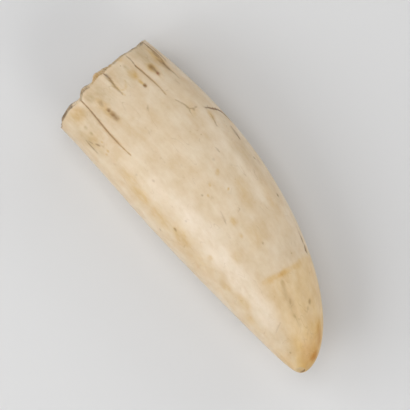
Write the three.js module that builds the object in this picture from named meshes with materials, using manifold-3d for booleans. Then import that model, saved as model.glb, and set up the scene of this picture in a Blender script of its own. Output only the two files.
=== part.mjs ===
// A sperm whale's tooth with bare, polished sides, as it lies on a table.
//
// It is one solid: a blunt, bent, oval cone. The hollow that held the pulp runs into it from the
// open root. The root's broken edge shows two layers. The outer one has split into flakes along
// lengthwise cracks, and the inner one stands out a little past them.
//
// Units are millimetres and degrees. +X runs from the root to the tip, +Y is the side of the outer
// bend and +Z is up. The origin is on the table, below the middle of the tooth. A station is a
// distance along the middle line from the root. An angle goes round the middle line, from the side
// of the outer bend at 0 over the top at 90.

import * as THREE from "three";
import { mergeVertices } from "three/addons/utils/BufferGeometryUtils.js";
import Module from "manifold-3d";

// Middle line, seen from above: a curve that leaves the root at one heading and meets the tip at
// another. A reach is how far it keeps close to that heading.
const CHORD = 166.3;
const ROOT_HEADING = 16.9;
const ROOT_REACH = 42;
const TIP_HEADING = -40.2;
const TIP_REACH = 33.7;

// Sections. The belly is the fullest one, and its place is a share of the middle line.
const ROOT_WIDTH = 54.5;
const BELLY_WIDTH = 60;
const WIDTH_BELLY_SHARE = 0.365;
const ROOT_THICKNESS = 40.6;
const BELLY_THICKNESS = 46;
const THICKNESS_BELLY_SHARE = 0.46;
const TAPER_POWER = 1.7;
const TIP_POWER = 1.78;
const SHOULDER_SHARE = 0.02;

// Underside: a spot worn flat, on which the tooth rests.
const FLAT_DEPTH = 0.9;

// Hollow: its length, the wall round it near the root, and the powers that shape its taper.
const HOLLOW_DEPTH = 64;
const WALL = 3.4;
const HOLLOW_SHOULDER_POWER = 1.4;
const HOLLOW_END_POWER = 0.8;

// Broken edge: the outer layer's thickness, the inner layer's at the edge, and how far in the wall
// reaches its full thickness. The bevel is the worn outer corner of the inner layer.
const OUTER_LAYER = 1.1;
const INNER_LAYER_EDGE = 1.7;
const WALL_FULL_AFTER = 14;
const EDGE_BEVEL = 0.3;
const EDGE_SETBACK = 7.4;
const BARED_STRIP = 2.4;

// Chip in the top of the tip: the scar of a ball, at a distance back from the end.
const CHIP_RADIUS = 6;
const CHIP_DEPTH = 0.6;
const CHIP_BACK = 1.4;
const CHIP_ANGLE = 84;

// How far the inner layer's edge lies behind the root's foremost point, as [angle, share of the
// edge's setback].
const INNER_EDGE = [
  [10, 0.95], [21, 0.96], [28, 1.02], [37, 0.88], [45, 0.8], [55, 0.62], [66, 0.54], [72, 0.45],
  [80, 0.27], [88, 0.12], [97, 0.31], [108, 0.07], [118, 0.36], [134, 0.14], [150, 0.19],
  [168, 0.47], [205, 0.42], [232, 0.54], [262, 0.38], [284, 0.59], [312, 0.72], [340, 1.0],
];

// Flakes of the outer layer, each from one crack to the next. At even steps along a flake, bares
// says how far its edge lies behind the inner layer's, as shares of the bared strip.
const FLAKES = [
  { from: 22, to: 54, bares: [0.2, 0.2, 0.2] },
  { from: 54, to: 83, bares: [0.2, 0.2, 0.25, 0.75] },
  { from: 83, to: 116, bares: [0.75, 0.67, 0.2, 0.46, 0.58, 0.54] },
  { from: 116, to: 176, bares: [0.25, 0.35, 0.5, 0.45, 0.35] },
  { from: 176, to: 214, bares: [0.35, 0.45, 0.4] },
  { from: 214, to: 262, bares: [0.8, 0.5, 0.4, 0.6] },
  { from: 262, to: 306, bares: [0.4, 0.65, 0.9] },
  { from: 306, to: 382, bares: [0.5, 0.35, 0.4, 0.2] },
];
const CRACK_HALF_ANGLE = 0.6;

// Facets
const COLUMN_ANGLE = 5;
const FLAKED_LENGTH = 30;
const FLAKED_RINGS = 9;
const BODY_RINGS = 28;
const HOLLOW_RINGS = 11;
const FINER_TO_EDGE = 1.5;
const FINER_TO_TIP = 1.8;

const rad = THREE.MathUtils.degToRad;
const { lerp, clamp, smoothstep } = THREE.MathUtils;
const up = new THREE.Vector3(0, 0, 1);

function headed(reach, heading) {
  return new THREE.Vector3(reach * Math.cos(rad(heading)), reach * Math.sin(rad(heading)), 0);
}

const root = new THREE.Vector3(0, 0, 0);
const tip = new THREE.Vector3(CHORD, 0, 0);
const middleLine = new THREE.CubicBezierCurve3(
  root,
  root.clone().add(headed(ROOT_REACH, ROOT_HEADING)),
  tip.clone().sub(headed(TIP_REACH, TIP_HEADING)),
  tip,
);
const LENGTH = middleLine.getLength();

// Half of a section's size at a share of the middle line. It swells from the root to the belly and
// then tapers to a round tip.
function halfSize(share, atRoot, atBelly, bellyAt) {
  const towardsRoot = Math.max(0, (bellyAt - share) / bellyAt);
  const towardsTip = Math.max(0, (share - bellyAt) / (1 - bellyAt));
  const swell = atBelly - (atBelly - atRoot) * towardsRoot ** 2;
  const taper = Math.max(0, 1 - towardsTip ** TAPER_POWER) ** (1 / TIP_POWER);
  return (swell * taper) / 2;
}

// The point at a station and an angle, at a depth below the side. Scale then brings it nearer to
// the middle line.
function pointAt(station, angle, depth = 0, scale = 1) {
  const share = clamp(station / LENGTH, 0, 1);
  const turn = rad(angle);
  const halfWidth = halfSize(share, ROOT_WIDTH, BELLY_WIDTH, WIDTH_BELLY_SHARE) - depth;
  const halfThickness =
    halfSize(share, ROOT_THICKNESS, BELLY_THICKNESS, THICKNESS_BELLY_SHARE) - depth;
  const full = scale * (1 + SHOULDER_SHARE * Math.sin(2 * turn) ** 2);
  const sideways = up.clone().cross(middleLine.getTangentAt(share));
  return middleLine
    .getPointAt(share)
    .addScaledVector(sideways, halfWidth * full * Math.cos(turn))
    .addScaledVector(up, halfThickness * full * Math.sin(turn));
}

// The setback of the inner layer's edge at an angle.
function innerEdge(angle) {
  const [firstAngle, firstShare] = INNER_EDGE[0];
  const loop = [...INNER_EDGE, [firstAngle + 360, firstShare]];
  const turned = firstAngle + THREE.MathUtils.euclideanModulo(angle - firstAngle, 360);
  const next = loop.findIndex(([a]) => a > turned);
  const [angleBefore, before] = loop[next - 1];
  const [angleAfter, after] = loop[next];
  return EDGE_SETBACK * lerp(before, after, (turned - angleBefore) / (angleAfter - angleBefore));
}

// How much a flake bares of the inner layer, at a share of its width.
function baredAt(bares, share) {
  const place = share * (bares.length - 1);
  const before = Math.min(Math.floor(place), bares.length - 2);
  const between = smoothstep(place - before, 0, 1);
  return BARED_STRIP * lerp(bares[before], bares[before + 1], between);
}

// Columns of facets round the tooth. At the broken edge, a flake's outermost columns lie close to
// its cracks. Further along, all columns are spread evenly.
const columns = FLAKES.flatMap(({ from, to, bares }) => {
  const count = Math.max(2, Math.round((to - from) / COLUMN_ANGLE));
  return Array.from({ length: count }, (_, k) => {
    const share = k / (count - 1);
    const edgeAngle = lerp(from + CRACK_HALF_ANGLE, to - CRACK_HALF_ANGLE, share);
    const evenAngle = lerp(from, to, (k + 0.5) / count);
    const inner = innerEdge(edgeAngle);
    return { edgeAngle, evenAngle, inner, outer: inner + baredAt(bares, share) };
  });
});

function angleOf(column, station) {
  return lerp(column.edgeAngle, column.evenAngle, smoothstep(station, 0, FLAKED_LENGTH));
}

// A point of the hollow. The hollow is the section less the wall, and narrows to its end.
function hollowPoint(column, station) {
  const share = clamp(station / HOLLOW_DEPTH, 0, 1);
  const thickening = smoothstep(station - column.inner, 0, WALL_FULL_AFTER);
  const depth = lerp(OUTER_LAYER + INNER_LAYER_EDGE, WALL, thickening);
  const scale = (1 - share ** HOLLOW_SHOULDER_POWER) ** HOLLOW_END_POWER;
  return pointAt(station, angleOf(column, station), depth, scale);
}

// A point of the side, or of the layer below it.
function sidePoint(column, station, depth = 0) {
  return pointAt(station, angleOf(column, station), depth);
}

// The rings of points, in order: the hollow from its end to the edge, the inner layer that the
// flakes leave bare, the sides of the flakes and the body to the tip. Each ring is a function that
// gives its point in a column.
const rings = [
  ...Array.from({ length: HOLLOW_RINGS + 1 }, (_, k) => (column) =>
    hollowPoint(column, lerp(HOLLOW_DEPTH, column.inner, k / HOLLOW_RINGS)),
  ),
  (column) => sidePoint(column, column.inner + EDGE_BEVEL, OUTER_LAYER),
  (column) => sidePoint(column, column.outer, OUTER_LAYER),
  ...Array.from({ length: FLAKED_RINGS }, (_, k) => (column) =>
    sidePoint(column, lerp(column.outer, FLAKED_LENGTH, (k / FLAKED_RINGS) ** FINER_TO_EDGE)),
  ),
  ...Array.from({ length: BODY_RINGS + 1 }, (_, k) => (column) =>
    sidePoint(column, lerp(LENGTH, FLAKED_LENGTH, (1 - k / BODY_RINGS) ** FINER_TO_TIP)),
  ),
];

// A straight, round blank with a segment for each column. Each of its points is then carried to
// its place on the tooth.
function toothGeometry() {
  const profile = rings.map((_, k) => {
    const onAxis = k === 0 || k === rings.length - 1;
    return new THREE.Vector2(onAxis ? 0 : ROOT_WIDTH / 2, k);
  });
  const geometry = new THREE.LatheGeometry(profile, columns.length);
  const position = geometry.getAttribute("position");
  for (let k = 0; k < position.count; k++) {
    const column = columns[Math.floor(k / rings.length) % columns.length];
    const { x, y, z } = rings[k % rings.length](column);
    position.setXYZ(k, x, y, z);
  }
  return geometry;
}

const wasm = await Module();
wasm.setup();

// A closed geometry as a solid that can be cut.
function solidOf(geometry) {
  const bare = geometry.clone();
  bare.deleteAttribute("normal");
  bare.deleteAttribute("uv");
  const merged = mergeVertices(bare, 1e-3);
  const triVerts = [];
  for (let k = 0; k < merged.index.count; k += 3) {
    const [a, b, c] = [0, 1, 2].map((corner) => merged.index.getX(k + corner));
    if (a !== b && b !== c && c !== a) triVerts.push(a, b, c);
  }
  return new wasm.Manifold(
    new wasm.Mesh({
      numProp: 3,
      vertProperties: merged.getAttribute("position").array,
      triVerts: Uint32Array.from(triVerts),
    }),
  );
}

function geometryOf(solid) {
  const { vertProperties, triVerts } = solid.getMesh();
  const geometry = new THREE.BufferGeometry();
  geometry.setAttribute("position", new THREE.BufferAttribute(vertProperties, 3));
  geometry.setIndex(new THREE.BufferAttribute(triVerts, 1));
  geometry.computeVertexNormals();
  return geometry;
}

// The ball that leaves the chip's scar, sunk into the side by the chip's depth.
function chipCutter() {
  const station = LENGTH - CHIP_BACK;
  const round = pointAt(station, CHIP_ANGLE + 1).sub(pointAt(station, CHIP_ANGLE - 1));
  const along = pointAt(LENGTH, CHIP_ANGLE).sub(pointAt(station - CHIP_BACK, CHIP_ANGLE));
  const outward = round.cross(along).normalize();
  const centre = pointAt(station, CHIP_ANGLE);
  centre.addScaledVector(outward, CHIP_RADIUS - CHIP_DEPTH);
  return new THREE.SphereGeometry(CHIP_RADIUS, 20, 12).translate(centre.x, centre.y, centre.z);
}

// Everything below the plane of the flat spot.
function tableCutter(bounds) {
  const size = bounds.getSize(new THREE.Vector3());
  const centre = bounds.getCenter(new THREE.Vector3());
  const box = new THREE.BoxGeometry(2 * size.x, 2 * size.y, size.z);
  return box.translate(centre.x, centre.y, bounds.min.z + FLAT_DEPTH - size.z / 2);
}

function makeTooth() {
  const blank = toothGeometry();
  blank.computeBoundingBox();
  const solid = solidOf(blank)
    .subtract(solidOf(tableCutter(blank.boundingBox)))
    .subtract(solidOf(chipCutter()));
  const geometry = geometryOf(solid);
  geometry.computeBoundingBox();
  const { min, max } = geometry.boundingBox;
  geometry.translate(-(min.x + max.x) / 2, -(min.y + max.y) / 2, -min.z);
  const ivory = new THREE.MeshStandardMaterial({
    color: 0xdec8af,
    roughness: 0.42,
    metalness: 0,
  });
  const tooth = new THREE.Mesh(geometry, ivory);
  tooth.name = "whale_tooth";
  return tooth;
}

const model = new THREE.Group();
model.add(makeTooth());

export default model;
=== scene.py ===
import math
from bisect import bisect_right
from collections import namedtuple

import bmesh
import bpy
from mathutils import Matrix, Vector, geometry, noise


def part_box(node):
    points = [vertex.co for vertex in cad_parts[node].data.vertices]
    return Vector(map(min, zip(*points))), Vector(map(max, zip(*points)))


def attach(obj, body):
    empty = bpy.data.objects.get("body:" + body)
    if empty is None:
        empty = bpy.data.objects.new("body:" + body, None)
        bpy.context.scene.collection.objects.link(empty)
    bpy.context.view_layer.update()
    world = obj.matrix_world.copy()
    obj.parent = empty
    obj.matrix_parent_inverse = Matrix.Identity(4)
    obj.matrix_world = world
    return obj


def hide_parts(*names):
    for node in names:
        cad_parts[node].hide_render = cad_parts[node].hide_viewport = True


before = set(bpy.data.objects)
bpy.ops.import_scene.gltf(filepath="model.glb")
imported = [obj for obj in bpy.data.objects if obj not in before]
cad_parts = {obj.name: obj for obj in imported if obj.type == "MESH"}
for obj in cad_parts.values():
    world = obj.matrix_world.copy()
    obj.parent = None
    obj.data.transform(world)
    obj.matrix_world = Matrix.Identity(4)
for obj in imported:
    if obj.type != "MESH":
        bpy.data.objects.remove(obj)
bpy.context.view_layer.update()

# A sperm whale's tooth with bare, polished sides, lying on a pale table.
#
# The tooth is one piece. It starts as a straight blank with rows along it and columns round it. Its
# faces are made finer where there are cracks, and each point of the blank is then carried to its
# place on the tooth.
#
# Tooth sizes are millimetres and degrees until the last step. A station is a distance along the
# middle line from the root. An angle goes round the middle line, from the side of the outer bend at
# 0 over the top at 90.

MM = 0.001

# Middle line and sections, as in the part's source
CHORD = 166.3
ROOT_HEADING = 16.9
ROOT_REACH = 42
TIP_HEADING = -40.2
TIP_REACH = 33.7
ROOT_WIDTH = 54.5
BELLY_WIDTH = 60
WIDTH_BELLY_SHARE = 0.365
ROOT_THICKNESS = 40.6
BELLY_THICKNESS = 46
THICKNESS_BELLY_SHARE = 0.46
TAPER_POWER = 1.7
TIP_POWER = 1.78
SHOULDER_SHARE = 0.02
FLAT_DEPTH = 0.9

# Hollow
HOLLOW_DEPTH = 64
WALL = 3.4
HOLLOW_SHOULDER_POWER = 1.4
HOLLOW_END_POWER = 0.8
HOLLOW_WRINKLES = 0.28
WRINKLE_LENGTH = 26
GROWTH_RINGS = 0.1

# Broken edge, with its table of (angle, share of the edge's setback) and the flakes' shares of the
# bared strip
OUTER_LAYER = 1.1
INNER_LAYER_EDGE = 1.7
WALL_FULL_AFTER = 14
EDGE_BEVEL = 0.3
EDGE_SETBACK = 7.4
BARED_STRIP = 2.4
LEAST_BARED = 0.35
FLAKE_EDGE = (-0.1, 0.15)
INNER_EDGE = (
    (10, 0.95), (21, 0.96), (28, 1.02), (37, 0.88), (45, 0.8), (55, 0.62), (66, 0.54), (72, 0.45),
    (80, 0.27), (88, 0.12), (97, 0.31), (108, 0.07), (118, 0.36), (134, 0.14), (150, 0.19),
    (168, 0.47), (205, 0.42), (232, 0.54), (262, 0.38), (284, 0.59), (312, 0.72), (340, 1.0),
)
FLAKES = (
    (22, 54, (0.2, 0.2, 0.2)),
    (54, 83, (0.2, 0.2, 0.25, 0.75)),
    (83, 116, (0.75, 0.67, 0.2, 0.46, 0.58, 0.54)),
    (116, 176, (0.25, 0.35, 0.5, 0.45, 0.35)),
    (176, 214, (0.35, 0.45, 0.4)),
    (214, 262, (0.8, 0.5, 0.4, 0.6)),
    (262, 306, (0.4, 0.65, 0.9)),
    (306, 382, (0.5, 0.35, 0.15, 0.15)),
)
# How dark the fracture is round the root, and how ochre the bared strip is, as (angle, share)
FRACTURE_TONE = (
    (10, 0.2), (20, 0.5), (50, 0.35), (66, 0.4), (76, 0.5), (82, 0.2), (99, 0.1), (104, 0.6),
    (115, 0.5), (119, 0.1), (126, 0.2), (131, 0.9), (157, 0.9), (170, 0.6), (205, 0.8),
    (232, 0.4), (262, 0.9), (284, 0.5), (312, 0.8), (340, 0.5),
)
OCHRE_STRIP = (
    (10, 0.15), (50, 0.15), (68, 0.3), (76, 0.8), (84, 1.0), (94, 1.0), (99, 0.3), (104, 0.4),
    (116, 0.4), (119, 0.1), (128, 0.1), (134, 0.3), (157, 0.3), (170, 0.4), (205, 0.6),
    (232, 0.8), (262, 0.5), (284, 0.8), (312, 0.5), (340, 0.3),
)

# Chip in the top of the tip
CHIP_RADIUS = 6
CHIP_DEPTH = 0.6
CHIP_BACK = 1.4
CHIP_ANGLE = 84

# Polished side: how deep its long waves and its dents are, and how sharply the flat spot ends
LONG_WAVES = 0.16
WAVE_LENGTH = 55
DENTS = 0.07
DENT_LENGTH = 12
FLAT_EDGE = 0.2

# Tan tip, with the station at which its border lies, and the painted highlight and grey places of
# the side
TAN_BORDER = 123.5
TAN_OF_TIP = 0.34
TAN_OF_END = 0.4
ROOT_GREY = 0.22

# Rows of faces on the blank, from the end of the hollow to the tip, and columns round it. The faces
# are made finer in two steps, first within the wide reach of a crack, then within the small one.
HOLLOW_ROWS = 32
EDGE_ROWS = 4
BARED_ROWS = 3
FLAKE_ROWS = 3
SIDE_ROWS = 160
COLUMNS = 208
BLANK_RADIUS = 40
WIDE_REACH = 1.1
SMALL_REACH = 0.5
FINE_SPOT_WIDTH = 1.4
CHIP_SURROUND = 2
CHIP_SURROUND_ANGLE = 60
MIDDLE_LINE_STEPS = 600

# Camera: the photograph looks straight down, and the tooth's +X runs down to the right.
CAMERA_TURN = 55.04
FRAME_WIDTH = 187.4
PHOTO_MIDDLE = (-5.4, 0.4)
LENS = 800
SENSOR = 36


def lerp(low, high, share):
    return low + (high - low) * share


def clamp(value, low=0.0, high=1.0):
    return max(low, min(high, value))


def smoothstep(low, high, value):
    share = clamp((value - low) / (high - low))
    return share * share * (3 - 2 * share)


def headed(reach, heading):
    turn = math.radians(heading)
    return Vector((reach * math.cos(turn), reach * math.sin(turn), 0))


def middle_line():
    """Points along the middle line, and how far along it each one is."""
    root = Vector((0, 0, 0))
    tip = Vector((CHORD, 0, 0))
    points = geometry.interpolate_bezier(
        root,
        root + headed(ROOT_REACH, ROOT_HEADING),
        tip - headed(TIP_REACH, TIP_HEADING),
        tip,
        MIDDLE_LINE_STEPS + 1,
    )
    stations = [0.0]
    for before, after in zip(points, points[1:]):
        stations.append(stations[-1] + (after - before).length)
    return points, stations


LINE_POINTS, LINE_STATIONS = middle_line()
LENGTH = LINE_STATIONS[-1]


def on_middle_line(station):
    """The point at a station and the direction of the line there."""
    station = clamp(station, 0, LENGTH)
    after = clamp(bisect_right(LINE_STATIONS, station), 1, MIDDLE_LINE_STEPS)
    before = after - 1
    gap = LINE_STATIONS[after] - LINE_STATIONS[before]
    share = (station - LINE_STATIONS[before]) / gap
    point = LINE_POINTS[before].lerp(LINE_POINTS[after], share)
    earlier = max(before - 1, 0)
    later = min(after + 1, MIDDLE_LINE_STEPS)
    behind = LINE_POINTS[after] - LINE_POINTS[earlier]
    ahead = LINE_POINTS[later] - LINE_POINTS[before]
    return point, behind.lerp(ahead, share).normalized()


def half_size(share, at_root, at_belly, belly_at):
    """Half of a section's size at a share of the middle line."""
    towards_root = max(0.0, (belly_at - share) / belly_at)
    towards_tip = max(0.0, (share - belly_at) / (1 - belly_at))
    swell = at_belly - (at_belly - at_root) * towards_root**2
    taper = max(0.0, 1 - towards_tip**TAPER_POWER) ** (1 / TIP_POWER)
    return swell * taper / 2


def half_sizes(station):
    share = clamp(station / LENGTH)
    return (
        half_size(share, ROOT_WIDTH, BELLY_WIDTH, WIDTH_BELLY_SHARE),
        half_size(share, ROOT_THICKNESS, BELLY_THICKNESS, THICKNESS_BELLY_SHARE),
    )


def point_at(station, angle, depth=0.0, scale=1.0):
    """The point at a station and an angle, at a depth below the side."""
    turn = math.radians(angle)
    half_width, half_thickness = half_sizes(station)
    full = scale * (1 + SHOULDER_SHARE * math.sin(2 * turn) ** 2)
    point, direction = on_middle_line(station)
    sideways = Vector((-direction.y, direction.x, 0))
    across = (half_width - depth) * full * math.cos(turn)
    height = (half_thickness - depth) * full * math.sin(turn)
    return point + sideways * across + Vector((0, 0, height))


def girth_per_degree(station, angle):
    """How far a degree goes round the side, in millimetres."""
    turn = math.radians(angle)
    half_width, half_thickness = half_sizes(station)
    return math.radians(math.hypot(half_width * math.sin(turn), half_thickness * math.cos(turn)))


def round_noise(angle, station, waves, seed):
    """Noise that joins up round the tooth."""
    turn = math.radians(angle)
    place = Vector((waves * math.cos(turn), waves * math.sin(turn), station + seed))
    return noise.noise(place)


# Band along the side where a highlight is painted into the colour as a paler tone, as (station,
# angle)
PAINTED_HIGHLIGHT_BAND = (
    (48, 112), (62, 117), (80, 115), (100, 114), (118, 115), (130, 112), (142, 116), (150, 119),
)
PAINTED_HIGHLIGHT_WIDTH = 4.6

# Marks on the side. A line follows a path of (station, angle). A spot is an oval at one place, and
# turn is how far its length leans from the tooth's. Both say which tone they paint and how darkly,
# and how deep they go.
Line = namedtuple("Line", "tone path width depth dark")
Spot = namedtuple("Spot", "tone station angle length width turn depth dark")

LONG_CRACK = (
    (2.6, 116), (9, 116.5), (13.6, 117.5), (19.7, 119), (25.8, 120), (32, 120), (39.2, 119),
)
THIN_CRACK = ((12.4, 56), (15.3, 56), (20.5, 56), (26.3, 56), (30.5, 57))
LINES = (
    # Long cracks between the flakes
    Line("crack", LONG_CRACK, 0.34, 0.3, (0.8, 0.35)),
    Line("orange", LONG_CRACK, 0.7, 0.0, (0.35, 0.5)),
    Line("crack", ((3.2, 82), (5.8, 82), (7.7, 82), (11.9, 84), (16.7, 84.5)),
         0.55, 0.45, (1.0, 0.1)),
    Line("ochre", ((7.7, 82), (11.9, 84), (17.5, 84.5)), 0.9, 0.0, (0.6, 0.5)),
    Line("crack", ((5.4, 54), (6.9, 54), (9.0, 54), (12.9, 56)), 0.3, 0.2, (0.25, 0.6)),
    Line("crack", THIN_CRACK, 0.36, 0.3, (0.7, 0.2)),
    Line("orange", THIN_CRACK, 0.6, 0.0, (0.4, 0.3)),
    Line("brown", ((8.0, 14), (12.0, 15.5), (16.0, 17.5), (20.0, 20)), 0.6, 0.1, (0.6, 0.9)),
    Line("crack", ((6.6, 19), (8.5, 20.5), (10.1, 21), (13.9, 22), (17.3, 23), (20.4, 27)),
         0.6, 0.5, (0.85, 0.5)),
    Line("crack", ((20.4, 29), (24.0, 30), (26.6, 29), (29.4, 30)), 0.5, 0.3, (0.65, 0.3)),
    Line("crack", ((4.6, 176), (14, 178), (26, 177), (33, 179)), 0.4, 0.5, (0.9, 0.4)),
    Line("crack", ((4.4, 214), (13, 213), (22, 215), (38, 214)), 0.45, 0.5, (0.9, 0.4)),
    Line("crack", ((3.8, 262), (10, 263), (19, 262)), 0.45, 0.5, (0.9, 0.3)),
    Line("crack", ((5.4, 306), (15, 305), (27, 307)), 0.4, 0.5, (0.9, 0.4)),
    # Cracks across the outer bend, and the dash beyond them
    Line("crack", ((46.5, 34), (47.4, 30), (48.6, 26), (49.9, 20), (51.6, 14), (53.6, 10)),
         0.5, 0.35, (0.75, 1.0)),
    Line("crack", ((52.2, 13), (54.0, 9), (56.4, 6.5), (58.5, 5)), 1.2, 0.2, (1.0, 0.4)),
    Line("crack", ((46.4, 29), (47.9, 30.5)), 0.4, 0.2, (0.5, 0.4)),
    Line("brown", ((60.0, 21), (62.7, 22), (66.0, 24)), 1.0, 0.15, (0.45, 0.75)),
    Line("brown", ((35.0, 54), (37.5, 52), (39.6, 50.5), (42.1, 50), (43.3, 46), (43.8, 42)),
         0.4, 0.1, (0.4, 0.6)),
    Line("brown", ((42.1, 50), (43.8, 52)), 0.4, 0.1, (0.5, 0.3)),
    Line("brown", ((50.2, 35), (53.6, 38), (55.6, 40)), 0.4, 0.1, (0.4, 0.5)),
    # Dark dashes on the flake by the straight side
    Line("crack", ((19.2, 146), (22.8, 147), (26.8, 147)), 0.4, 0.15, (0.5, 0.6)),
    Line("crack", ((20.2, 144), (22.5, 142)), 0.35, 0.1, (0.5, 0.35)),
    Line("brown", ((23.8, 139), (25.8, 137)), 0.55, 0.1, (0.7, 0.6)),
    # Loop-shaped stain
    Line("ochre", ((13.4, 74), (15.0, 76), (16.1, 80), (15.0, 84)), 0.8, 0.0, (0.3, 0.5)),
    # Scratches
    Line("brown", ((86.0, 90), (88.5, 91), (92.1, 93)), 0.4, 0.05, (0.2, 0.4)),
    Line("brown", ((90.3, 74), (91.2, 78)), 0.35, 0.05, (0.35, 0.2)),
    Line("brown", ((144.4, 103), (146, 110), (148.1, 118)), 0.4, 0.05, (0.3, 0.1)),
    Line("brown", ((62.5, 57), (65.1, 57)), 0.45, 0.0, (0.3, 0.4)),
    # Soft dark line on the tip
    Line("grey", ((128, 76), (133, 79), (137.7, 77), (143.9, 79), (148.8, 75)),
         1.9, 0.0, (0.45, 0.2)),
    # Scratches on the side that lies away from the photograph
    Line("crack", ((88, 196), (93, 199), (99, 198)), 0.4, 0.2, (0.4, 0.5)),
    Line("brown", ((61, 236), (66, 240), (74, 239)), 0.45, 0.1, (0.4, 0.5)),
    Line("brown", ((112, 322), (118, 325), (126, 324)), 0.45, 0.1, (0.5, 0.4)),
)

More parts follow.
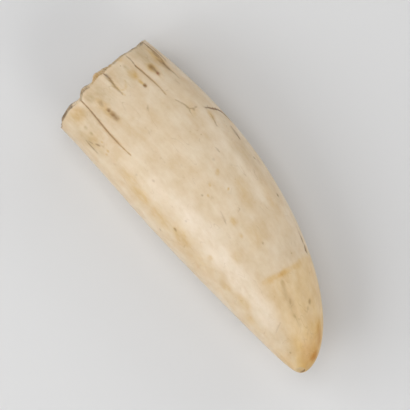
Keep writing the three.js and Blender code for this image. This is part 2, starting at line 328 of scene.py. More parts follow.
SPOTS = (
    # Brown and ochre stains that run lengthwise from the root
    Spot("brown", 21.2, 104.6, 3.6, 1.4, 0, 0.0, 0.8),
    Spot("brown", 17.4, 104.5, 1.2, 0.9, 0, 0.05, 0.95),
    Spot("brown", 12.8, 105, 2.2, 1.1, 0, 0.0, 0.4),
    Spot("ochre", 17.0, 105, 9.0, 2.2, 0, 0.0, 0.8),
    Spot("olive", 6.8, 107.5, 3.6, 2.6, 0, 0.0, 0.55),
    Spot("ochre", 7.6, 128, 5.0, 4.6, 0, 0.0, 0.75),
    Spot("olive", 14.5, 134, 1.5, 1.2, 0, 0.0, 0.6),
    Spot("olive", 18.6, 134, 1.3, 0.9, 0, 0.0, 0.7),
    Spot("ochre", 25.2, 132, 1.0, 0.8, 0, 0.0, 0.6),
    Spot("ochre", 30.4, 134, 1.2, 0.9, 0, 0.0, 0.7),
    Spot("ochre", 30.9, 138, 1.0, 0.8, 0, 0.0, 0.6),
    Spot("ochre", 22.0, 141, 7.0, 4.2, 0, 0.0, 0.4),
    Spot("ochre", 14.8, 65, 3.6, 2.2, 0, 0.0, 1.0),
    Spot("ochre", 19.0, 65, 4.0, 1.2, 0, 0.0, 0.8),
    Spot("brown", 21.4, 65, 1.2, 1.0, 0, 0.1, 1.0),
    Spot("olive", 9.6, 64, 2.4, 1.1, 0, 0.0, 0.55),
    Spot("ochre", 5.6, 61, 2.0, 2.0, 0, 0.0, 0.5),
    Spot("ochre", 18.5, 45.5, 5.6, 2.2, 0, 0.0, 1.0),
    Spot("brown", 19.0, 45.5, 3.6, 1.3, 0, 0.0, 0.8),
    Spot("red", 21.6, 46, 1.3, 1.0, 0, 0.0, 1.0),
    Spot("brown", 20.6, 30, 4.6, 1.9, 0, 0.0, 0.6),
    Spot("brown", 15.5, 26, 3.4, 1.2, 0, 0.0, 0.6),
    Spot("ochre", 17.5, 28, 9.0, 4.0, 0, 0.0, 1.0),
    Spot("olive", 9.0, 36, 3.0, 3.4, 0, 0.0, 0.35),
    Spot("olive", 13.0, 42, 9.0, 4.5, 0, 0.0, 0.35),
    Spot("olive", 11.0, 72, 8.0, 5.0, 0, 0.0, 0.25),
    Spot("olive", 9.0, 97, 7.0, 4.0, 0, 0.0, 0.3),
    Spot("olive", 14.0, 122, 9.0, 5.0, 0, 0.0, 0.25),
    Spot("olive", 20.0, 145, 9.0, 4.0, 0, 0.0, 0.3),
    # Ochre patch below the crack across the outer bend
    Spot("ochre", 50.6, 36, 3.6, 1.8, 20, 0.0, 0.6),
    Spot("brown", 43.6, 47, 1.0, 0.8, 0, 0.0, 0.5),
    Spot("ochre", 42.0, 48, 5.5, 3.6, 20, 0.0, 0.4),
    # Ochre band along the straight side
    Spot("ochre", 47.0, 136, 8.0, 3.6, 0, 0.0, 0.4),
    Spot("ochre", 57.0, 140, 9.5, 4.6, 0, 0.0, 0.6),
    Spot("ochre", 71.0, 141, 10.0, 4.6, 0, 0.0, 0.5),
    Spot("ochre", 84.0, 136, 9.0, 4.4, 0, 0.0, 0.6),
    Spot("ochre", 100.0, 140, 11.0, 4.8, 0, 0.0, 0.35),
    Spot("ochre", 116.6, 135, 4.0, 2.6, 0, 0.0, 0.45),
    Spot("ochre", 127.0, 131, 6.5, 3.2, 0, 0.0, 0.5),
    Spot("ochre", 137.0, 142, 5.5, 3.0, 0, 0.0, 0.5),
    # Ring and small stains on the body
    Spot("ochre", 100.7, 127, 1.7, 1.7, 0, 0.05, 0.75),
    Spot("ochre", 92.7, 86, 2.6, 1.9, 0, 0.0, 0.6),
    Spot("ochre", 100.8, 88, 1.5, 1.2, 0, 0.0, 0.5),
    Spot("ochre", 71.7, 71, 1.8, 1.2, 40, 0.0, 0.65),
    Spot("ochre", 73.9, 83, 1.3, 0.8, 30, 0.0, 0.5),
    Spot("ochre", 107.0, 104, 5.0, 3.0, 0, 0.0, 0.3),
    Spot("ochre", 104.0, 76, 9.0, 5.0, 20, 0.0, 0.3),
    Spot("ochre", 86.0, 62, 9.0, 4.0, 15, 0.0, 0.35),
    Spot("ochre", 95.0, 40, 12.0, 4.0, 0, 0.0, 0.35),
    Spot("grey", 76.0, 34, 12.0, 6.0, 0, 0.0, 0.2),
    Spot("grey", 116.0, 50, 7.0, 8.0, 0, 0.0, 0.15),
    # Specks
    Spot("brown", 76.6, 24, 0.9, 0.6, 0, 0.1, 0.75),
    Spot("brown", 55.5, 119, 0.9, 0.6, 0, 0.0, 0.35),
    Spot("brown", 48.0, 128, 0.8, 0.6, 0, 0.0, 0.2),
    Spot("brown", 95.4, 25, 1.2, 0.8, 0, 0.2, 0.9),
    Spot("brown", 75.2, 94, 0.7, 0.6, 0, 0.0, 0.45),
    Spot("ochre", 76.8, 90, 0.8, 0.7, 0, 0.0, 0.7),
    Spot("ochre", 80.3, 72, 1.2, 0.8, 60, 0.0, 0.8),
    Spot("brown", 79.6, 136, 1.2, 0.7, 0, 0.1, 0.65),
    Spot("brown", 75.3, 154, 1.1, 0.6, 30, 0.1, 0.5),
    Spot("brown", 108.9, 74, 0.8, 0.7, 0, 0.0, 0.4),
    Spot("brown", 79.8, 121, 0.8, 0.6, 0, 0.0, 0.3),
    Spot("brown", 35.0, 92, 1.0, 0.7, 0, 0.0, 0.12),
    Spot("brown", 29.0, 78, 1.4, 0.6, 50, 0.0, 0.35),
    Spot("brown", 66.0, 66, 0.8, 0.6, 0, 0.0, 0.2),
    # Chipped place at the outer bend
    Spot("brown", 121.0, 18, 2.2, 1.6, 0, 0.6, 1.0),
    Spot("crack", 121.2, 19, 1.3, 0.9, 0, 0.3, 0.7),
    Spot("brown", 117.0, 19.5, 3.2, 1.0, 0, 0.2, 0.9),
    # Yellow stains at the start of the tan tip
    Spot("yellow", 124.2, 86, 2.0, 5.0, 0, 0.0, 0.5),
    Spot("yellow", 124.9, 73, 1.6, 3.6, 0, 0.0, 0.7),
    Spot("ochre", 125.0, 50, 1.6, 3.0, 0, 0.0, 0.55),
    Spot("grey", 137.4, 77, 2.2, 1.1, 15, 0.0, 0.7),
    Spot("grey", 144.2, 78.5, 1.6, 1.0, 0, 0.0, 0.65),
    Spot("brown", 141.1, 48, 1.3, 0.8, 30, 0.05, 0.5),
    Spot("brown", 143.3, 54, 1.0, 0.8, 0, 0.0, 0.3),
    Spot("brown", 159.6, 111, 0.7, 0.6, 0, 0.05, 0.4),
    # Orange-brown edge of the tip
    Spot("ochre", 151.4, 34, 4.0, 2.6, 0, 0.0, 0.9),
    Spot("orange", 157.2, 30, 4.5, 3.0, 0, 0.0, 0.65),
    Spot("orange", 163.0, 40, 3.4, 3.2, 0, 0.0, 1.0),
    Spot("orange", 161.0, 55, 9.0, 7.0, 0, 0.0, 0.4),
    # Stains on the side that lies away from the photograph
    Spot("ochre", 22.0, 232, 12.0, 3.2, 0, 0.0, 0.6),
    Spot("brown", 15.0, 197, 4.6, 1.2, 0, 0.0, 0.7),
    Spot("brown", 17.0, 286, 4.2, 1.2, 0, 0.0, 0.7),
    Spot("ochre", 18.0, 330, 7.0, 2.4, 0, 0.0, 0.7),
    Spot("ochre", 61.0, 205, 13.0, 3.6, 0, 0.0, 0.6),
    Spot("ochre", 86.0, 258, 16.0, 5.0, 0, 0.0, 0.5),
    Spot("ochre", 98.0, 322, 12.0, 4.2, 0, 0.0, 0.5),
    Spot("brown", 70.0, 222, 1.0, 0.7, 0, 0.1, 0.6),
    Spot("brown", 52.0, 318, 1.0, 0.7, 0, 0.1, 0.6),
    Spot("brown", 109.0, 214, 1.2, 0.8, 0, 0.1, 0.6),
    Spot("orange", 158.0, 300, 6.0, 4.0, 0, 0.0, 0.5),
)
TONES = ("ochre", "yellow", "olive", "grey", "orange", "brown", "red", "crack")
# The last zone is a highlight painted into the colour: a paler band where the soft light shines
# back
ZONES = ("hollow", "broken", "bared", "tan", "chip", "painted_highlight")

# The marks are looked up by short stretches of the tooth
STRETCH = 4
LINE_MARGIN = 2.5
SPOT_MARGIN = 1.5


def marks_by_stretch():
    """The marks that touch each stretch of the tooth, by the stretch's number."""
    stretches = {}
    for mark in LINES + SPOTS:
        if isinstance(mark, Line):
            stations = [station for station, _ in mark.path]
            low, high = min(stations) - LINE_MARGIN, max(stations) + LINE_MARGIN
        else:
            reach = max(mark.length, mark.width) * SPOT_MARGIN + 1
            low, high = mark.station - reach, mark.station + reach
        for number in range(int(low // STRETCH), int(high // STRETCH) + 1):
            stretches.setdefault(number, []).append(mark)
    return stretches


MARKS = marks_by_stretch()


def marks_near(station):
    return MARKS.get(int(station // STRETCH), ())


def angle_between(angle, other):
    """The turn from one angle to another, from -180 to 180."""
    return (other - angle + 180) % 360 - 180


def off_path(path, station, angle):
    """How far a place on the side is from a path, and the share of the path it is nearest to.

    The path is unrolled from its first point, so that it never passes round the far side.
    """
    girth = girth_per_degree(station, angle)
    first = path[0][1]
    turn = angle_between(angle, first)
    flat = [Vector((s - station, (turn + a - first) * girth)) for s, a in path]
    nearest = (math.inf, 0.0)
    for k, (start, end) in enumerate(zip(flat, flat[1:])):
        along = end - start
        share = clamp(-start.dot(along) / along.length_squared)
        distance = (start + along * share).length
        nearest = min(nearest, (distance, (k + share) / (len(flat) - 1)))
    return nearest


def off_spot(spot, station, angle):
    """How far out a place is from a spot's middle: 1 is at its edge."""
    girth = girth_per_degree(station, angle)
    lean = math.radians(spot.turn)
    ahead = station - spot.station
    beside = -angle_between(angle, spot.angle) * girth
    lengthwise = ahead * math.cos(lean) + beside * math.sin(lean)
    crosswise = beside * math.cos(lean) - ahead * math.sin(lean)
    return math.hypot(lengthwise / spot.length, crosswise / spot.width)


def wander(station, angle, size, amount):
    """A small, irregular step that makes the marks' edges uneven."""
    return amount * round_noise(angle, station / size, 20 / size, 31.0)


def on_line(line, station, angle):
    """How dark and how deep a line is at a place. It is thinner towards its ends."""
    distance, share = off_path(line.path, station, angle)
    distance += wander(station, angle, 1.2, 0.12)
    thinning = 0.35 + 0.65 * math.sin(math.pi * clamp(share, 0.12, 0.88))
    half_width = line.width * thinning
    amount = 1 - smoothstep(0.35 * half_width, 1.35 * half_width, distance)
    deep = line.depth * max(0.0, 1 - distance / (1.1 * half_width))
    return amount * lerp(*line.dark, share), deep


def on_spot(spot, station, angle):
    """How dark and how deep a spot is at a place. It fades outwards."""
    out = off_spot(spot, station, angle)
    out *= 1 + wander(station, angle, 1.2 + min(spot.length, spot.width), 0.45)
    amount = 1 - smoothstep(0.15, 1.25, out)
    return amount * spot.dark, spot.depth * max(0.0, 1 - out * out)


def mark_the_side(station, angle):
    """How dark each tone is at a place on the side, and how deep the marks go there."""
    tones = dict.fromkeys(TONES, 0.0)
    depth = 0.0
    for mark in marks_near(station):
        find = on_line if isinstance(mark, Line) else on_spot
        dark, deep = find(mark, station, angle)
        tones[mark.tone] = max(tones[mark.tone], dark)
        depth = max(depth, deep)
    return tones, depth


def off_fine_marks(station, angle):
    """How far a place on the side is from the nearest mark that needs small faces."""
    nearest = math.inf
    for mark in marks_near(station):
        if isinstance(mark, Line):
            distance = off_path(mark.path, station, angle)[0]
        elif mark.width < FINE_SPOT_WIDTH:
            distance = (off_spot(mark, station, angle) - 1) * mark.width
        else:
            continue
        nearest = min(nearest, distance)
    return nearest


# Broken edge of the root
def round_the_edge(keys, angle):
    """The value at an angle, from a loop of (angle, value) keys."""
    first_angle, first_value = keys[0]
    loop = keys + ((first_angle + 360, first_value),)
    turned = first_angle + (angle - first_angle) % 360
    after = min(bisect_right([a for a, _ in loop], turned), len(loop) - 1)
    angle_before, before = loop[after - 1]
    angle_after, value_after = loop[after]
    share = (turned - angle_before) / (angle_after - angle_before)
    return lerp(before, value_after, smoothstep(0, 1, share))


def inner_edge(angle):
    """How far the inner layer's broken edge lies behind the root's foremost point."""
    setback = EDGE_SETBACK * round_the_edge(INNER_EDGE, angle)
    ragged = 0.3 * round_noise(angle, 0, 14, 3.0) + 0.5 * round_noise(angle, 0, 36, 5.0)
    return setback + abs(ragged)


def bared(angle):
    """How far a flake's edge lies behind the inner layer's."""
    first_angle = FLAKES[0][0]
    turned = first_angle + (angle - first_angle) % 360
    for start, end, bares in FLAKES:
        if start <= turned < end:
            place = (turned - start) / (end - start) * (len(bares) - 1)
            before = min(int(place), len(bares) - 2)
            share = lerp(bares[before], bares[before + 1], smoothstep(0, 1, place - before))
            ragged = 0.14 * round_noise(angle, 0, 22, 8.0) + 0.1 * round_noise(angle, 0, 60, 9.0)
            return max(LEAST_BARED, BARED_STRIP * share + ragged)


def fracture_tone(angle):
    """How dark the fracture is at an angle, in patches."""
    patches = 0.95 + 0.6 * round_noise(angle, 0, 12, 61.0) + 0.4 * round_noise(angle, 0, 40, 62.0)
    return clamp(round_the_edge(FRACTURE_TONE, angle) * patches)


# The zones of the blank, with the rows at which each one ends
HOLLOW_END = HOLLOW_ROWS
EDGE_END = HOLLOW_END + EDGE_ROWS
BARED_END = EDGE_END + BARED_ROWS
FLAKE_END = BARED_END + FLAKE_ROWS
SIDE_END = FLAKE_END + SIDE_ROWS


def hollow_place(row, angle, inner):
    """A place in the hollow. Growth rings and lengthwise wrinkles make its wall uneven."""
    share = (1 - row / HOLLOW_END) ** 1.3
    station = lerp(inner, HOLLOW_DEPTH, share)
    thickening = smoothstep(0, WALL_FULL_AFTER, station - inner)
    depth = lerp(OUTER_LAYER + INNER_LAYER_EDGE, WALL, thickening)
    depth -= HOLLOW_WRINKLES * thickening * round_noise(angle, station / WRINKLE_LENGTH, 6, 12.0)
    depth -= GROWTH_RINGS * thickening * noise.noise(Vector((station * 0.8, 0, 4)))
    narrowing = (station / HOLLOW_DEPTH) ** HOLLOW_SHOULDER_POWER
    return station, depth, max(0.0, 1 - narrowing) ** HOLLOW_END_POWER


def edge_place(share, angle, inner):
    """A place on the broken end of the inner layer, from the hollow to the outer corner."""
    rough = 0.1 + abs(0.5 * round_noise(angle, 5 * share, 26, 14.0))
    station = inner + EDGE_BEVEL * share**2 + rough * math.sin(math.pi * share)
    return station, lerp(OUTER_LAYER + INNER_LAYER_EDGE, OUTER_LAYER, share), 1.0


def side_station(share, outer):
    """The stations of the rows on the side lie closer together at both ends."""
    eased = 1 - (1 - share) ** 1.25
    return lerp(outer, LENGTH, eased**1.15)


def place_on_tooth(row, angle):
    """The station, depth and scale of a place on the blank."""
    inner = inner_edge(angle)
    if row <= HOLLOW_END:
        return hollow_place(row, angle, inner)
    if row <= EDGE_END:
        return edge_place((row - HOLLOW_END) / EDGE_ROWS, angle, inner)
    outer = inner + EDGE_BEVEL + bared(angle)
    if row <= BARED_END:
        share = (row - EDGE_END) / BARED_ROWS
        rough = 0.1 * round_noise(angle, share, 40, 17.0) * math.sin(math.pi * share)
        station = lerp(inner + EDGE_BEVEL, outer + FLAKE_EDGE[0], share)
        return station, OUTER_LAYER + rough, 1.0
    if row <= FLAKE_END:
        share = (row - BARED_END) / FLAKE_ROWS
        rough = 0.12 * round_noise(angle, 2 * share, 60, 19.0) * math.sin(math.pi * share)
        return outer + lerp(*FLAKE_EDGE, share) + rough, OUTER_LAYER * (1 - share**1.4), 1.0
    share = (row - FLAKE_END) / SIDE_ROWS
    return side_station(share, outer + FLAKE_EDGE[1]), 0.0, 1.0


def row_and_angle(point):
    """Which row and column of the blank a point is at, as whole numbers or between them."""
    return point.z, math.degrees(math.atan2(point.y, point.x)) % 360


def straight_blank():
    """A cone for the hollow and one for the side, base to base, with the broken edge between."""
    tooth = bmesh.new()
    corners = (
        (0, 0),
        (BLANK_RADIUS, HOLLOW_END),
        (BLANK_RADIUS, EDGE_END),
        (BLANK_RADIUS, BARED_END),
        (BLANK_RADIUS, FLAKE_END),
        (0, SIDE_END),
    )
    for (start_radius, start_row), (end_radius, end_row) in zip(corners, corners[1:]):
        start = tooth.verts.new((start_radius, 0, start_row))
        end = tooth.verts.new((end_radius, 0, end_row))
        edge = tooth.edges.new((start, end))
        bmesh.ops.subdivide_edges(tooth, edges=[edge], cuts=end_row - start_row - 1)
    bmesh.ops.remove_doubles(tooth, verts=tooth.verts, dist=0.001)
    bmesh.ops.spin(
        tooth,
        geom=tooth.verts[:] + tooth.edges[:],
        cent=(0, 0, 0),
        axis=(0, 0, 1),
        angle=math.tau,
        steps=COLUMNS,
        use_merge=True,
    )
    bmesh.ops.remove_doubles(tooth, verts=tooth.verts, dist=0.001)
    return tooth


def needs_small_faces(point, reach):
    """True near a crack, a speck, a flake's broken edge or the chip."""
    row, angle = row_and_angle(point)
    if row < HOLLOW_END - 1 or row > SIDE_END - 2:
        return False
    if row < FLAKE_END + 2:
        return reach > SMALL_REACH
    station = place_on_tooth(row, angle)[0]
    if off_fine_marks(station, angle) < reach:
        return True
    from_chip = LENGTH - CHIP_BACK - station
    beside_chip = abs(angle_between(angle, CHIP_ANGLE))
    return from_chip < CHIP_SURROUND + reach and beside_chip < CHIP_SURROUND_ANGLE


def make_finer(tooth, reach):
    """Halve the edges of the faces that need to be small."""
    small = {vert for vert in tooth.verts if needs_small_faces(vert.co, reach)}
    edges = [edge for edge in tooth.edges if edge.verts[0] in small and edge.verts[1] in small]
    bmesh.ops.subdivide_edges(tooth, edges=edges, cuts=1, use_grid_fill=True)


def unevenness(station, angle):
    """How far the polished side wavers from its true form."""
    width, _ = half_sizes(station)
    small = smoothstep(0, 14, width)
    lengthwise = LONG_WAVES * round_noise(angle, station / WAVE_LENGTH, 3.2, 40.0)
    dents = DENTS * round_noise(angle, station / DENT_LENGTH, 6, 44.0)
    return small * (lengthwise + dents)


def chip_ball():
    """The middle of the ball that leaves the chip's scar."""
    station = LENGTH - CHIP_BACK
    round_tip = point_at(station, CHIP_ANGLE + 1) - point_at(station, CHIP_ANGLE - 1)
    along = point_at(LENGTH, CHIP_ANGLE) - point_at(station - CHIP_BACK, CHIP_ANGLE)
    outward = round_tip.cross(along).normalized()
    return point_at(station, CHIP_ANGLE) + outward * (CHIP_RADIUS - CHIP_DEPTH)


def painted_highlight_amount(station, angle):
    """How strongly the painted highlight pales a place, most of it along a band."""
    distance, share = off_path(PAINTED_HIGHLIGHT_BAND, station, angle)
    distance += 1.6 * round_noise(angle, station / 9, 3, 71.0)
    ends = smoothstep(0.0, 0.25, share) * smoothstep(1.0, 0.8, share)
    return ends * smoothstep(2 * PAINTED_HIGHLIGHT_WIDTH, 0, distance)


def cap_tan(station, angle):
    """How tan the tip is. The tan starts at an uneven border across the tooth."""
    uneven = 2.5 * round_noise(angle, 0, 2.2, 50.0) + 1.2 * round_noise(angle, 0, 9, 51.0)
    border = TAN_BORDER + uneven
    side = smoothstep(115, 80, angle) if angle < 180 else smoothstep(250, 300, angle)
    start = lerp(8.0, 1.0, side)
    cap = lerp(0.02, TAN_OF_TIP, side) * smoothstep(-start, start, station - border)
    end = lerp(smoothstep(150, 170, station), smoothstep(134, 168, station), side)
    return cap + TAN_OF_END * end


def root_grey(station, angle):
    """How grey the side is towards the root, apart from its top by the outer bend."""
    off_the_top = smoothstep(60, 90, (angle + 20) % 360 - 20)
    return ROOT_GREY * smoothstep(48, 12, station) * off_the_top


def carry_to_place(tooth):
    """Move each point of the blank to its place, and paint its tones."""
    layers = tooth.verts.layers
    tones = {name: layers.float.new(name) for name in TONES}
    zones = {name: layers.float.new(name) for name in ZONES}
    straight = layers.float_vector.new("straight")
    ball = chip_ball()
    scar = point_at(LENGTH - CHIP_BACK, CHIP_ANGLE)
    for vert in tooth.verts:
        row, angle = row_and_angle(vert.co)
        station, depth, scale = place_on_tooth(row, angle)
        width, thickness = half_sizes(station)
        turn = math.radians(angle)
        vert[straight] = Vector((station, width * math.cos(turn), thickness * math.sin(turn))) / 10
        vert[zones["tan"]] = cap_tan(station, angle)
        # Painted highlight: a pale band painted into the colour along the side
        vert[zones["painted_highlight"]] = painted_highlight_amount(station, angle)
        if row < HOLLOW_END:
            vert[zones["hollow"]] = smoothstep(0, 4, HOLLOW_END - row)
            vert[zones["broken"]] = smoothstep(2, 0, HOLLOW_END - row) * fracture_tone(angle)
        elif row <= EDGE_END:
            vert[zones["broken"]] = fracture_tone(angle)
        elif row <= FLAKE_END:
            vert[zones["bared"]] = round_the_edge(OCHRE_STRIP, angle)
            vert[zones["broken"]] = fracture_tone(angle)
        else:
            amounts, marked = mark_the_side(station, angle)
            for name, amount in amounts.items():
                vert[tones[name]] = amount
            vert[tones["grey"]] = max(amounts["grey"], root_grey(station, angle))
            rim = smoothstep(FLAKE_END + 1.0, FLAKE_END, row)
            vert[zones["broken"]] = 0.7 * rim * fracture_tone(angle)
            depth += marked + unevenness(station, angle)
        point = point_at(station, angle, depth, scale)
        from_ball = point - ball
        if from_ball.length < CHIP_RADIUS:
            point = ball + from_ball.normalized() * CHIP_RADIUS
            vert[zones["chip"]] = 1.0
            vert[zones["tan"]] *= 0.3
            # The chip's scar is darker along its foremost edge, most towards the outer bend
            foremost = smoothstep(0.3, 1.0, (point - scar).x)
            vert[tones["crack"]] = 0.75 * foremost * lerp(0.3, 1, smoothstep(122, 96, angle))
        vert.co = point


def rest_on_table(tooth):
    """Put the tooth where the frame has it, and wear its underside flat."""
    low, high = (Vector(corner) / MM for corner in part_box("whale_tooth"))
    across = [vert.co.x for vert in tooth.verts], [vert.co.y for vert in tooth.verts]
    middle = [(min(values) + max(values)) / 2 for values in across]
    bottom = min(vert.co.z for vert in tooth.verts) + FLAT_DEPTH
    for vert in tooth.verts:
        vert.co.x += (low.x + high.x) / 2 - middle[0]
        vert.co.y += (low.y + high.y) / 2 - middle[1]
        height = vert.co.z - bottom
        vert.co.z = (height + math.hypot(height, FLAT_EDGE)) / 2
        vert.co *= MM


def make_tooth():
    tooth = straight_blank()
    make_finer(tooth, WIDE_REACH)
    make_finer(tooth, SMALL_REACH)
    carry_to_place(tooth)
    rest_on_table(tooth)
    bmesh.ops.recalc_face_normals(tooth, faces=tooth.faces)
    for face in tooth.faces:
        face.smooth = True
    mesh = bpy.data.meshes.new("tooth")
    tooth.to_mesh(mesh)
    tooth.free()
    piece = bpy.data.objects.new("tooth", mesh)
    bpy.context.collection.objects.link(piece)
    return piece


# Shader building
def colour(hex_code):
    """A colour as the shaders want it, from the usual hex code."""
    parts = [int(hex_code[k:k + 2], 16) / 255 for k in (1, 3, 5)]
    linear = [p / 12.92 if p < 0.04045 else ((p + 0.055) / 1.055) ** 2.4 for p in parts]
    return (*linear, 1.0)


def add_node(tree, kind, **settings):
    node = tree.nodes.new(kind)
    for name, value in settings.items():
        setattr(node, name, value)
    return node


def set_inputs(tree, node, values):
    """Give a node's inputs plain values, or link them to another node's output."""
    for key, value in values.items():
        if isinstance(value, bpy.types.NodeSocket):
            tree.links.new(value, node.inputs[key])
        else:
            node.inputs[key].default_value = value
    return node


def sockets(group, inputs, outputs):
    """Give a node group its named inputs and outputs, and return their two nodes."""
    for name, kind, value in inputs:
        socket = group.interface.new_socket(name, in_out="INPUT", socket_type=kind)
        if value is not None:
            socket.default_value = value
    for name, kind in outputs:
        group.interface.new_socket(name, in_out="OUTPUT", socket_type=kind)
    return group.nodes.new("NodeGroupInput"), group.nodes.new("NodeGroupOutput")


def noise_value(tree, vector, scale, detail=3.0, roughness=0.55, stretch=(1, 1, 1)):
    """A noise from 0 to 1 along a vector, stretched along its axes."""
    mapping = add_node(tree, "ShaderNodeMapping")
    set_inputs(tree, mapping, {"Vector": vector, "Scale": stretch})
    texture = add_node(tree, "ShaderNodeTexNoise")
    set_inputs(tree, texture, {
        "Vector": mapping.outputs["Vector"],
        "Scale": scale,
        "Detail": detail,
        "Roughness": roughness,
    })
    return texture.outputs["Fac"]


def remap(tree, value, low, high, to_low=0.0, to_high=1.0):
    """A value brought from one range to another, and held inside it."""
    node = add_node(tree, "ShaderNodeMapRange", clamp=True)
    set_inputs(tree, node, {
        "Value": value,
        "From Min": low,
        "From Max": high,
        "To Min": to_low,
        "To Max": to_high,
    })
    return node.outputs["Result"]


def maths(tree, operation, first, second):
    node = add_node(tree, "ShaderNodeMath", operation=operation)
    set_inputs(tree, node, {0: first, 1: second})
    return node.outputs["Value"]


# A mix node's sockets for values and for colours bear the same names, so they go by number.
def blend_values(tree, amount, first, second):
    node = add_node(tree, "ShaderNodeMix", data_type="FLOAT")
    set_inputs(tree, node, {0: amount, 2: first, 3: second})
    return node.outputs[0]


def blend_colours(tree, amount, first, second, kind="MIX"):
    node = add_node(tree, "ShaderNodeMix", data_type="RGBA", blend_type=kind)
    set_inputs(tree, node, {0: amount, 6: first, 7: second})
    return node.outputs[2]


def clouded_ivory_group():
    """Pale and deep ivory in soft clouds, with fine streaks that run along the tooth."""
    group = bpy.data.node_groups.new("clouded ivory", "ShaderNodeTree")
    inside, outside = sockets(
        group,
        [
            ("Straight", "NodeSocketVector", None),
            ("Pale", "NodeSocketColor", colour("#ffffff")),
            ("Deep", "NodeSocketColor", colour("#808080")),
            ("Cloud Scale", "NodeSocketFloat", 1.0),
            ("Streaks", "NodeSocketFloat", 0.5),
        ],
        [("Color", "NodeSocketColor")],
    )
    straight = inside.outputs["Straight"]
    clouds = noise_value(group, straight, inside.outputs["Cloud Scale"], 6, 0.62, (0.7, 1, 1))
    streaks = noise_value(group, straight, 5.0, 4, 0.6, (0.08, 1, 1))
    streaks = maths(group, "SUBTRACT", streaks, 0.5)
    streaks = maths(group, "MULTIPLY", streaks, inside.outputs["Streaks"])
    amount = remap(group, maths(group, "ADD", clouds, streaks), 0.32, 0.68)
    mixed = blend_colours(group, amount, inside.outputs["Pale"], inside.outputs["Deep"])
    group.links.new(mixed, outside.inputs["Color"])
    return group


def stain_group():
    """A stain that tints a colour where a mask says, broken up by fine noise."""
    group = bpy.data.node_groups.new("broken-up stain", "ShaderNodeTree")
    inside, outside = sockets(
        group,
        [
            ("Color", "NodeSocketColor", colour("#ffffff")),
            ("Stain", "NodeSocketColor", colour("#808080")),
            ("Mask", "NodeSocketFloat", 0.0),
            ("Straight", "NodeSocketVector", None),
            ("Breakup", "NodeSocketFloat", 0.5),
            ("Grain", "NodeSocketFloat", 8.0),
        ],
        [("Color", "NodeSocketColor"), ("Mask", "NodeSocketFloat")],
    )
    straight = inside.outputs["Straight"]
    speckle = noise_value(group, straight, inside.outputs["Grain"], 3, 0.6, (0.4, 1, 1))
    gaps = remap(group, speckle, 0.62, 0.38)
    kept = maths(group, "SUBTRACT", 1.0, maths(group, "MULTIPLY", gaps, inside.outputs["Breakup"]))
    mask = maths(group, "MULTIPLY", inside.outputs["Mask"], kept)
    colours = inside.outputs["Color"], inside.outputs["Stain"]
    mixed = blend_colours(group, mask, *colours, "MULTIPLY")
    group.links.new(mixed, outside.inputs["Color"])
    group.links.new(mask, outside.inputs["Mask"])
    return group


def fine_marks_group():
    """Hairlines that wander over the surface, and freckles here and there."""
    group = bpy.data.node_groups.new("fine marks", "ShaderNodeTree")
    inside, outside = sockets(
        group,
        [
            ("Straight", "NodeSocketVector", None),
            ("Hairline Scale", "NodeSocketFloat", 2.0),
            ("Hairline Width", "NodeSocketFloat", 0.01),
            ("Freckle Scale", "NodeSocketFloat", 3.0),
            ("Freckle Share", "NodeSocketFloat", 0.15),
        ],
        [("Hairlines", "NodeSocketFloat"), ("Freckles", "NodeSocketFloat")],
    )
    straight = inside.outputs["Straight"]
    # A hairline lies where a noise passes its middle value
    folds = noise_value(group, straight, inside.outputs["Hairline Scale"], 2, 0.5, (0.3, 1, 1))
    from_line = maths(group, "ABSOLUTE", maths(group, "SUBTRACT", folds, 0.5), 0.0)
    line = remap(group, from_line, inside.outputs["Hairline Width"], 0.0)
    places = remap(group, noise_value(group, straight, 1.3, 3, 0.6), 0.5, 0.62)
    group.links.new(maths(group, "MULTIPLY", line, places), outside.inputs["Hairlines"])
    # A freckle lies in the middle of some of the cells
    cells = add_node(group, "ShaderNodeTexVoronoi")
    set_inputs(group, cells, {"Vector": straight, "Scale": inside.outputs["Freckle Scale"]})
    uneven = maths(group, "MULTIPLY", noise_value(group, straight, 9.0, 2, 0.6), 0.08)
    from_middle = maths(group, "ADD", cells.outputs["Distance"], uneven)
    split = add_node(group, "ShaderNodeSeparateColor")
    set_inputs(group, split, {"Color": cells.outputs["Color"]})
    chosen = maths(group, "LESS_THAN", split.outputs["Red"], inside.outputs["Freckle Share"])
    size = remap(group, split.outputs["Green"], 0.0, 1.0, 0.05, 0.13)
    dot = remap(group, maths(group, "SUBTRACT", size, from_middle), -0.03, 0.03)
    group.links.new(maths(group, "MULTIPLY", dot, chosen), outside.inputs["Freckles"])
    return group


def polish_group():
    """The fine relief and the gloss of a surface polished by hand."""
    group = bpy.data.node_groups.new("hand polish", "ShaderNodeTree")
    inside, outside = sockets(
        group,
        [
            ("Straight", "NodeSocketVector", None),
            ("Smooth Roughness", "NodeSocketFloat", 0.4),
            ("Worn Roughness", "NodeSocketFloat", 0.5),
            ("Raw", "NodeSocketFloat", 0.0),
            ("Raw Roughness", "NodeSocketFloat", 0.8),
        ],
        [("Roughness", "NodeSocketFloat"), ("Height", "NodeSocketFloat")],
    )
    straight = inside.outputs["Straight"]
    wear = remap(group, noise_value(group, straight, 1.6, 4, 0.6), 0.35, 0.65)
    kinds = inside.outputs["Smooth Roughness"], inside.outputs["Worn Roughness"]
    polished = blend_values(group, wear, *kinds)
    raw = inside.outputs["Raw"]
    roughness = blend_values(group, raw, polished, inside.outputs["Raw Roughness"])
    group.links.new(roughness, outside.inputs["Roughness"])
    scratches = noise_value(group, straight, 26.0, 2, 0.5, (0.06, 1, 1))
    pores = noise_value(group, straight, 34.0, 3, 0.7)
    scratch_relief = maths(group, "MULTIPLY", scratches, 0.25)
    pore_relief = maths(group, "MULTIPLY", pores, 0.2)
    raw_relief = maths(group, "MULTIPLY", pores, maths(group, "MULTIPLY", raw, 3.0))
    fine_relief = maths(group, "ADD", scratch_relief, pore_relief)
    height = maths(group, "ADD", fine_relief, raw_relief)
    group.links.new(height, outside.inputs["Height"])
    return group


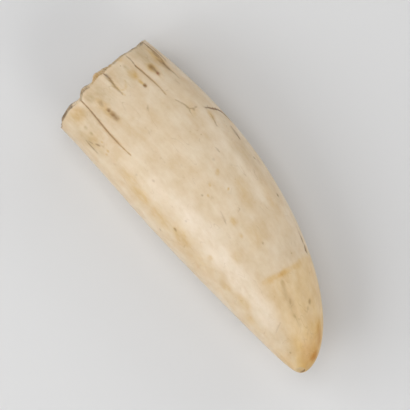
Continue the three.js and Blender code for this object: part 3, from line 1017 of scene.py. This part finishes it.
# Stains of the tooth: which attribute or mask says where, the tint that white ivory takes there,
# how broken up the stain is, and how fine its grain
STAINS = (
    ("hairline", "#b39a70", 0.2, 9.0),
    ("freckle", "#b39c6c", 0.2, 9.0),
    ("tan", "#fee07c", 0.25, 2.0),
    ("grey", "#c2b088", 0.35, 6.0),
    ("ochre", "#ecd595", 0.45, 6.0),
    ("olive", "#c9c09a", 0.5, 9.0),
    ("yellow", "#f2d47c", 0.35, 8.0),
    ("orange", "#dcae34", 0.25, 5.0),
    ("brown", "#967432", 0.3, 12.0),
    ("red", "#be8a62", 0.2, 12.0),
    ("crack", "#7a5226", 0.15, 14.0),
    ("bared", "#dbc48e", 0.6, 12.0),
    ("broken", "#5c4b34", 0.4, 12.0),
    ("hollow", "#bdab8e", 0.4, 3.0),
    ("chip", "#f6eed6", 0.3, 12.0),
)


def polished_ivory():
    material = bpy.data.materials.new("polished ivory")
    material.use_nodes = True
    tree = material.node_tree
    shader = tree.nodes["Principled BSDF"]

    def attribute(name, output):
        return add_node(tree, "ShaderNodeAttribute", attribute_name=name).outputs[output]

    straight = attribute("straight", "Vector")
    clouds = add_node(tree, "ShaderNodeGroup", node_tree=clouded_ivory_group())
    set_inputs(tree, clouds, {
        "Straight": straight,
        "Pale": colour("#e3d1b6"),
        "Deep": colour("#d5bc97"),
        "Cloud Scale": 1.5,
        "Streaks": 0.25,
    })
    fine_marks = add_node(tree, "ShaderNodeGroup", node_tree=fine_marks_group())
    set_inputs(tree, fine_marks, {
        "Straight": straight,
        "Hairline Scale": 1.7,
        "Hairline Width": 0.012,
        "Freckle Scale": 2.6,
        "Freckle Share": 0.2,
    })
    # Painted highlight: the colour is blended towards pale ivory along the band, in uneven patches,
    # where the light's highlight shows
    patches = noise_value(tree, straight, 2.4, 5, 0.65, (0.5, 1, 1))
    strength = remap(tree, patches, 0.38, 0.62, 0.25, 0.8)
    painted_highlight = maths(tree, "MULTIPLY", attribute("painted_highlight", "Fac"), strength)
    tone = blend_colours(tree, painted_highlight, clouds.outputs["Color"], colour("#efdfca"))
    stain_tree = stain_group()
    masks = {
        "hairline": maths(tree, "MULTIPLY", fine_marks.outputs["Hairlines"], 0.3),
        "freckle": maths(tree, "MULTIPLY", fine_marks.outputs["Freckles"], 0.4),
    }
    for name, stain, breakup, grain in STAINS:
        layer = add_node(tree, "ShaderNodeGroup", node_tree=stain_tree, label=name)
        set_inputs(tree, layer, {
            "Color": tone,
            "Stain": colour(stain),
            "Mask": masks[name] if name in masks else attribute(name, "Fac"),
            "Straight": straight,
            "Breakup": breakup,
            "Grain": grain,
        })
        tone = layer.outputs["Color"]
        masks[name] = layer.outputs["Mask"]

    raw = maths(tree, "MAXIMUM", masks["broken"], maths(tree, "MULTIPLY", masks["hollow"], 0.7))
    raw = maths(tree, "MAXIMUM", raw, masks["crack"])
    polish = add_node(tree, "ShaderNodeGroup", node_tree=polish_group())
    set_inputs(tree, polish, {
        "Straight": straight,
        "Smooth Roughness": 0.36,
        "Worn Roughness": 0.46,
        "Raw": raw,
        "Raw Roughness": 0.85,
    })
    bump = add_node(tree, "ShaderNodeBump")
    relief = polish.outputs["Height"]
    set_inputs(tree, bump, {"Strength": 0.25, "Distance": 0.0002, "Height": relief})
    set_inputs(tree, shader, {
        "Base Color": tone,
        "Roughness": polish.outputs["Roughness"],
        "Normal": bump.outputs["Normal"],
        "IOR": 1.52,
        "Subsurface Weight": 0.12,
        "Subsurface Radius": (1.0, 0.6, 0.35),
        "Subsurface Scale": 0.003,
    })
    return material


# Studio, in metres. Each light has a direction in plan from +X, an angle above the table, and a
# power in watts.
TABLE_REACH = 2
LIGHT_SIZE = 0.6
LIGHT_DISTANCE = 1.1
SOFT_LIGHTS = (
    (240, 22, 2.85), (30, 22, 1.76), (90, 22, 2.61), (0, 40, 2.84),
    (120, 40, 0.92), (210, 40, 2.57), (270, 40, 3.39), (180, 76, 2.48),
)
ROOM_LIGHT = 0.12


def pale_table():
    table = bmesh.new()
    bmesh.ops.create_grid(table, x_segments=1, y_segments=1, size=TABLE_REACH)
    mesh = bpy.data.meshes.new("table")
    table.to_mesh(mesh)
    table.free()
    top = bpy.data.objects.new("table", mesh)
    bpy.context.collection.objects.link(top)
    material = bpy.data.materials.new("pale table")
    material.use_nodes = True
    shader = material.node_tree.nodes["Principled BSDF"]
    set_inputs(material.node_tree, shader, {"Base Color": colour("#dcdcdc"), "Roughness": 0.9})
    mesh.materials.append(material)


def soft_light(toward, elevation, power):
    """A square light that faces the tooth."""
    light = bpy.data.lights.new("soft light", "AREA")
    light.size = LIGHT_SIZE
    light.energy = power
    lamp = bpy.data.objects.new("soft light", light)
    bpy.context.collection.objects.link(lamp)
    plan, rise = math.radians(toward), math.radians(elevation)
    direction = Vector((
        math.cos(rise) * math.cos(plan),
        math.cos(rise) * math.sin(plan),
        math.sin(rise),
    ))
    lamp.location = direction * LIGHT_DISTANCE
    lamp.rotation_euler = direction.to_track_quat("Z", "Y").to_euler()


def studio():
    pale_table()
    for toward, elevation, power in SOFT_LIGHTS:
        soft_light(toward, elevation, power)
    world = bpy.data.worlds.new("studio")
    world.use_nodes = True
    room = world.node_tree.nodes["Background"]
    set_inputs(world.node_tree, room, {"Color": colour("#fcfdff"), "Strength": ROOM_LIGHT})
    bpy.context.scene.world = world
    bpy.context.scene.view_settings.view_transform = "Standard"


def photo_camera():
    """The photograph's view, straight down."""
    lens = bpy.data.cameras.new("camera")
    lens.lens = LENS
    lens.sensor_width = SENSOR
    camera = bpy.data.objects.new("camera", lens)
    bpy.context.collection.objects.link(camera)
    low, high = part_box("whale_tooth")
    height = FRAME_WIDTH * MM * LENS / SENSOR + (low[2] + high[2]) / 2
    camera.location = (PHOTO_MIDDLE[0] * MM, PHOTO_MIDDLE[1] * MM, height)
    camera.rotation_euler = (0, 0, math.radians(CAMERA_TURN))
    bpy.context.scene.camera = camera


photo_camera()
studio()
tooth = make_tooth()
tooth.data.materials.append(polished_ivory())
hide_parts("whale_tooth")
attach(tooth, "root")
